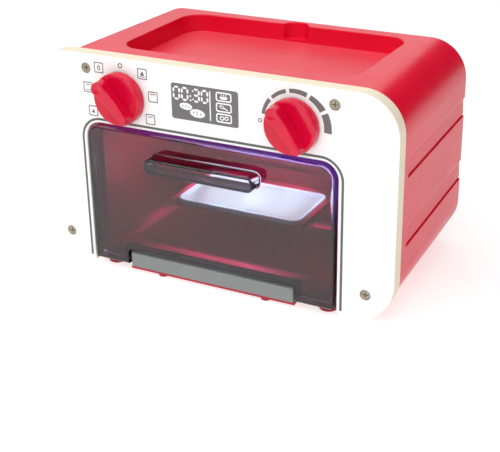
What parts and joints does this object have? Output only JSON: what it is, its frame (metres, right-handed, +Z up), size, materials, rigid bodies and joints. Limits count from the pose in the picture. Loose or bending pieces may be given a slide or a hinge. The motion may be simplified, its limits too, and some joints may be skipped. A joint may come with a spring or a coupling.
{
  "type": "toy oven",
  "caption": "Toy oven with a white wooden front, red moulded housing, tinted drop-down door, turning knobs, lit chamber with a sliding tray and a tray recess on top.",
  "frame": {"origin": "centre of the footprint's bounding box, on the table under the feet", "axes": "+Z up, -Y out of the door side, +X to the right for a viewer in front of the door"},
  "size_m": [0.33, 0.203, 0.1938],
  "materials": {
    "painted_plywood": "white painted face, plain cut edges",
    "shell_red": "satin moulded",
    "liner_red": "satin moulded",
    "base_red": "satin moulded",
    "foot_red": "soft matte",
    "bar_grey": "satin moulded",
    "door_tint": "clear tinted, polished",
    "knob_red": "polished",
    "tray_white": "translucent white",
    "screw_steel": "zinc plated",
    "pin_steel": "drawn",
    "shaft_nylon": "natural",
    "switch_black": "satin moulded",
    "board_green": "solder mask",
    "component_black": "satin",
    "led_clear": "clear",
    "lens_frost": "frosted",
    "speaker_metal": "black",
    "speaker_paper": "coated",
    "magnet_iron": "plated",
    "cell_jacket": "plain sleeve",
    "contact_nickel": "plated",
    "lead_sleeve": "smooth"
  },
  "bodies": {
    "housing": {"front_panel": "painted_plywood", "panel_screws": "screw_steel", "outer_shell": "shell_red", "cavity_liner": "liner_red", "liner_screws": "screw_steel", "base_plate": "base_red", "base_screws": "screw_steel", "feet": "foot_red", "hinge_cover": "bar_grey", "hinge_cover_screws": "screw_steel", "hinge_pins": "pin_steel", "mode_switch_body": "switch_black", "timer_switch_body": "switch_black", "switch_nuts": "screw_steel", "tray_rack": "liner_red", "rack_screws": "screw_steel", "lamp_lens": "lens_frost", "lamp_board": "board_green", "lamp_leds": "led_clear", "lamp_screws": "screw_steel", "main_board": "board_green", "board_components": "component_black", "board_screws": "screw_steel", "speaker_frame": "speaker_metal", "speaker_cone": "speaker_paper", "speaker_magnet": "magnet_iron", "speaker_screws": "screw_steel", "battery_box": "switch_black", "batteries": "cell_jacket", "battery_contacts": "contact_nickel", "battery_box_screws": "screw_steel", "battery_cover": "shell_red", "battery_cover_screws": "screw_steel", "power_switch_body": "switch_black", "power_switch_screws": "screw_steel", "lead_wires": "lead_sleeve"},
    "door": {"door": "door_tint"},
    "mode_knob": {"mode_knob": "knob_red", "mode_shaft": "shaft_nylon"},
    "timer_knob": {"timer_knob": "knob_red", "timer_shaft": "shaft_nylon"},
    "cookie_tray": {"cookie_tray": "tray_white"},
    "power_slider": {"power_slider": "switch_black"}
  },
  "joints": [
    {"name": "door_hinge", "type": "hinge", "parent": "housing", "child": "door", "pos_m": [0, -0.0785, 0.011], "axis": [1, 0, 0], "range_deg": [0, 82]},
    {"name": "mode_turn", "type": "hinge", "parent": "housing", "child": "mode_knob", "pos_m": [-0.07845, -0.0905, 0.1602], "axis": [0, -1, 0], "range_deg": [-163, 73]},
    {"name": "timer_turn", "type": "hinge", "parent": "housing", "child": "timer_knob", "pos_m": [0.07845, -0.0905, 0.1602], "axis": [0, -1, 0], "range_deg": [-132, 53]},
    {"name": "tray_slide", "type": "slide", "parent": "housing", "child": "cookie_tray", "axis": [0, -1, 0], "range_m": [0, 0.04]},
    {"name": "power_slide", "type": "slide", "parent": "housing", "child": "power_slider", "axis": [1, 0, 0], "range_m": [0, 0.004]}
  ]
}
